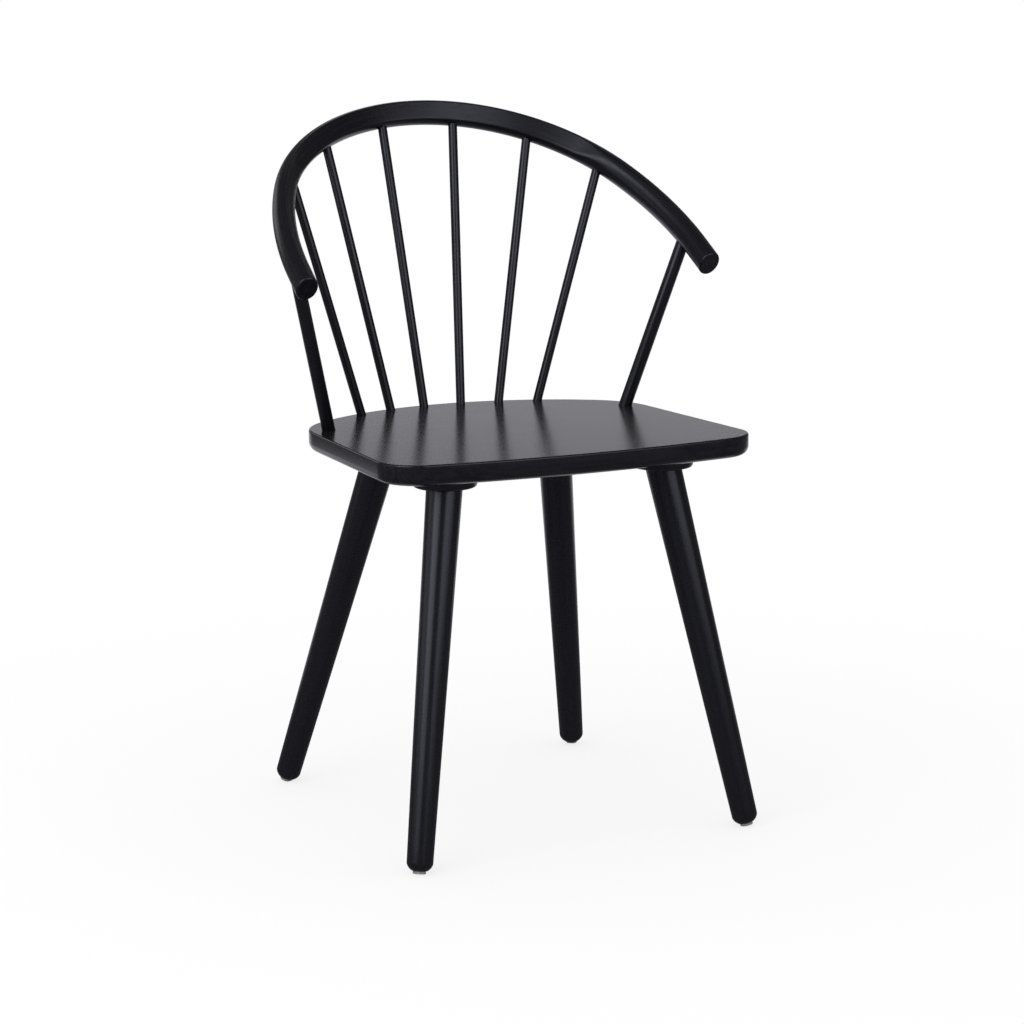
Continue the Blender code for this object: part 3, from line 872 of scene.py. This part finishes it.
# The bolts and inserts keep their CAD shape, hidden in wood that isn't bored for them here
for name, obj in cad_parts.items():
    if name.startswith(("leg_bolt", "leg_insert")):
        obj.data.materials.clear()
        obj.data.materials.append(ZINC_STEEL)

# Camera
CAMERA_AZIMUTH = math.radians(-25.443)
CAMERA_ELEVATION = math.radians(10.793)
CAMERA_ROLL = math.radians(-0.522)
CAMERA_DISTANCE = 3.6193
CAMERA_TARGET = Vector((-0.0006, SHIFT, 0.3479))
FOCAL_PIXELS = 3143.4
IMAGE_PIXELS = 1024
IMAGE_CENTRE = (505.8, 513.1)
SENSOR = 36.0


def make_camera():
    """The photograph's camera: its angle, its slight roll and its off-centre middle."""
    az, el, roll = CAMERA_AZIMUTH, CAMERA_ELEVATION, CAMERA_ROLL
    forward = Vector((-math.sin(az) * math.cos(el), math.cos(az) * math.cos(el), -math.sin(el)))
    right = Vector((math.cos(az), math.sin(az), 0.0))
    up = right.cross(forward)
    tilted_right = math.cos(roll) * right + math.sin(roll) * up
    tilted_up = -math.sin(roll) * right + math.cos(roll) * up
    data = bpy.data.cameras.new("camera")
    data.sensor_width = SENSOR
    data.lens = FOCAL_PIXELS / IMAGE_PIXELS * SENSOR
    data.shift_x = (IMAGE_PIXELS / 2 - IMAGE_CENTRE[0]) / IMAGE_PIXELS
    data.shift_y = (IMAGE_CENTRE[1] - IMAGE_PIXELS / 2) / IMAGE_PIXELS
    camera = bpy.data.objects.new("camera", data)
    bpy.context.scene.collection.objects.link(camera)
    matrix = Matrix((tilted_right, tilted_up, -forward)).transposed().to_4x4()
    matrix.translation = CAMERA_TARGET - CAMERA_DISTANCE * forward
    camera.matrix_world = matrix
    bpy.context.scene.camera = camera


make_camera()


# Studio: a white sweep behind the chair, and a dim room in front with soft boxes and bright cards.
# Rays that the camera sees, rays that light the chair and rays that it mirrors are set apart
BACKWARD = (math.sin(-CAMERA_AZIMUTH), math.cos(-CAMERA_AZIMUTH), 0.0)
SIDEWAYS = (BACKWARD[1], -BACKWARD[0], 0.0)
FLOOR_HALF = 20.0
FLOOR_COLOUR = (0.92, 0.92, 0.92, 1.0)
WHITE = (1.0, 1.0, 1.0, 1.0)
# Share of plain white in what the camera sees of the floor, near the chair and far from it
FLOOR_WHITE = (0.76, 1.0)
FLOOR_WHITE_REACH = (0.3, 1.3)
# What the finish mirrors of the floor: dim around the chair, lit behind it where start and width say
FLOOR_DIM = 0.12
FLOOR_LIT = 0.75
FLOOR_LIT_START = (0.4, 1.3)
FLOOR_LIT_WIDTH = (0.9, 2.1)
# What the finish mirrors of the room, and of the sweep behind, full straight behind and low
ROOM_MIRRORED = 0.09
SWEEP_MIRRORED = 1.30
SWEEP_WIDTH = (0.89, 0.995)
SWEEP_RISE = (0.0, 0.27)
MIRRORED_TINT = (0.975, 0.965, 1.04, 1.0)
# Even light on the chair from all round
FILL = 0.92
LAMP_AIM = Vector((0.0, 0.0, 0.5))
FLOOR_CARD_HEIGHT = 0.005
# Name, azimuth in degrees, distance, heights from and to, width, brightness. 1 is white
MAIN_LAMP = ("left_box", -38.0, 2.6, (0.45, 3.0), 2.0, 1.6)
CARDS = (
    ("left_strip", -46.0, 2.5, (0.5, 2.6), 0.6, 0.7),
    ("left_low_wall", -80.0, 2.8, (0.3, 0.85), 1.9, 0.65),
    ("left_high_wall", -72.0, 2.8, (1.4, 2.7), 1.2, 0.65),
    ("right_box", 30.0, 2.6, (0.48, 2.4), 1.4, 1.3),
    ("right_wall", 55.0, 2.6, (0.48, 1.75), 1.2, 1.05),
    ("back_left_wall", -134.0, 2.6, (0.75, 1.8), 0.8, 0.8),
    ("back_box", 178.0, 2.8, (1.7, 3.0), 1.6, 1.0),
)


def make_floor():
    """Paper: nearly white to the camera apart from the chair's shadow, graded where it is mirrored."""
    mesh = bpy.data.meshes.new("floor")
    s = FLOOR_HALF
    mesh.from_pydata([(-s, -s, 0), (s, -s, 0), (s, s, 0), (-s, s, 0)], [], [(0, 1, 2, 3)])
    floor = bpy.data.objects.new("floor", mesh)
    bpy.context.scene.collection.objects.link(floor)
    material = bpy.data.materials.new("floor_paper")
    material.use_nodes = True
    tree = material.node_tree
    tree.nodes.clear()
    position = add_node(tree, "NewGeometry").outputs["Position"]
    distance = add_node(tree, "VectorMath", {0: position}, operation="LENGTH").outputs["Value"]
    behind = add_node(
        tree, "VectorMath", {0: position, 1: BACKWARD}, operation="DOT_PRODUCT"
    ).outputs["Value"]
    path = add_node(tree, "LightPath")
    paper = add_node(tree, "BsdfDiffuse", {"Color": FLOOR_COLOUR})
    white = add_node(tree, "Emission", {"Color": WHITE})
    aside = add_node(
        tree, "VectorMath", {0: position, 1: SIDEWAYS}, operation="DOT_PRODUCT"
    ).outputs["Value"]
    lit = math_node(
        tree,
        "MULTIPLY",
        map_range(tree, behind, *FLOOR_LIT_START, 0.0, FLOOR_LIT),
        map_range(tree, math_node(tree, "ABSOLUTE", aside), *FLOOR_LIT_WIDTH, 1.0, 0.0),
    )
    mirrored = add_node(
        tree,
        "Emission",
        {"Color": MIRRORED_TINT, "Strength": math_node(tree, "ADD", lit, FLOOR_DIM)},
    )
    share = math_node(
        tree,
        "MULTIPLY",
        path.outputs["Is Camera Ray"],
        map_range(tree, distance, *FLOOR_WHITE_REACH, *FLOOR_WHITE),
    )
    seen = add_node(tree, "MixShader", {0: share, 1: paper.outputs[0], 2: white.outputs[0]})
    both = add_node(
        tree,
        "MixShader",
        {0: path.outputs["Is Glossy Ray"], 1: seen.outputs[0], 2: mirrored.outputs[0]},
    )
    add_node(tree, "OutputMaterial", {"Surface": both.outputs[0]})
    mesh.materials.append(material)


def make_world():
    """White to the camera, an even fill on the chair, and the room and sweep where they are mirrored."""
    world = bpy.data.worlds.new("studio")
    world.use_nodes = True
    tree = world.node_tree
    tree.nodes.clear()
    direction = add_node(tree, "TexCoord").outputs["Generated"]
    behind = add_node(
        tree, "VectorMath", {0: direction, 1: BACKWARD}, operation="DOT_PRODUCT"
    ).outputs["Value"]
    height = add_node(tree, "SeparateXYZ", {0: direction}).outputs["Z"]
    sweep = math_node(
        tree,
        "MULTIPLY",
        map_range(tree, behind, *SWEEP_WIDTH, 0.0, SWEEP_MIRRORED - ROOM_MIRRORED),
        map_range(tree, height, *SWEEP_RISE, 1.0, 0.0),
    )
    path = add_node(tree, "LightPath")
    fill = add_node(tree, "Background", {"Color": WHITE, "Strength": FILL})
    mirrored = add_node(
        tree,
        "Background",
        {"Color": MIRRORED_TINT, "Strength": math_node(tree, "ADD", sweep, ROOM_MIRRORED)},
    )
    white = add_node(tree, "Background", {"Color": WHITE})
    lit = add_node(
        tree,
        "MixShader",
        {0: path.outputs["Is Glossy Ray"], 1: fill.outputs[0], 2: mirrored.outputs[0]},
    )
    seen = add_node(
        tree,
        "MixShader",
        {0: path.outputs["Is Camera Ray"], 1: lit.outputs[0], 2: white.outputs[0]},
    )
    add_node(tree, "OutputWorld", {"Surface": seen.outputs[0]})
    bpy.context.scene.world = world


def new_lamp(name, width, height, brightness, lights):
    """Rectangular lamp that the camera never sees. Unless it lights, the finish only mirrors it."""
    data = bpy.data.lights.new(name, "AREA")
    data.shape = "RECTANGLE"
    data.size = width
    data.size_y = height
    data.energy = brightness * math.pi * width * height
    lamp = bpy.data.objects.new(name, data)
    bpy.context.scene.collection.objects.link(lamp)
    lamp.visible_camera = False
    lamp.visible_diffuse = lights
    return lamp


def softbox(name, azimuth, distance, heights, width, brightness, lights=False):
    """Lamp or card, its azimuth counted from the camera to its right.

    Its heights hold while it stands upright, before it is tilted to face the chair.
    """
    low, high = heights
    lamp = new_lamp(name, width, high - low, brightness, lights)
    turn = CAMERA_AZIMUTH + math.radians(azimuth)
    lamp.location = (distance * math.sin(turn), -distance * math.cos(turn), (low + high) / 2)
    aim = LAMP_AIM - lamp.location
    lamp.rotation_mode = "QUATERNION"
    lamp.rotation_quaternion = aim.to_track_quat("-Z", "Y")


def floor_card(name, centre, size, brightness, pieces):
    """Bright patch of floor under the chair that only these pieces mirror, in their lower edges."""
    lamp = new_lamp(name, *size, brightness, lights=False)
    lamp.location = (*centre, FLOOR_CARD_HEIGHT)
    lamp.rotation_euler = (math.pi, 0.0, 0.0)
    lit = bpy.data.collections.new(name + "_pieces")
    for piece_name in pieces:
        lit.objects.link(bpy.data.objects[piece_name])
    lamp.light_linking.receiver_collection = lit


make_floor()
make_world()
softbox(*MAIN_LAMP, lights=True)
for card in CARDS:
    softbox(*card)
floor_card(
    "floor_glow", centre=(0.14, 0.28), size=(0.9, 0.8), brightness=0.5, pieces=["seat_plate"]
)

bpy.context.scene.view_settings.view_transform = "Standard"

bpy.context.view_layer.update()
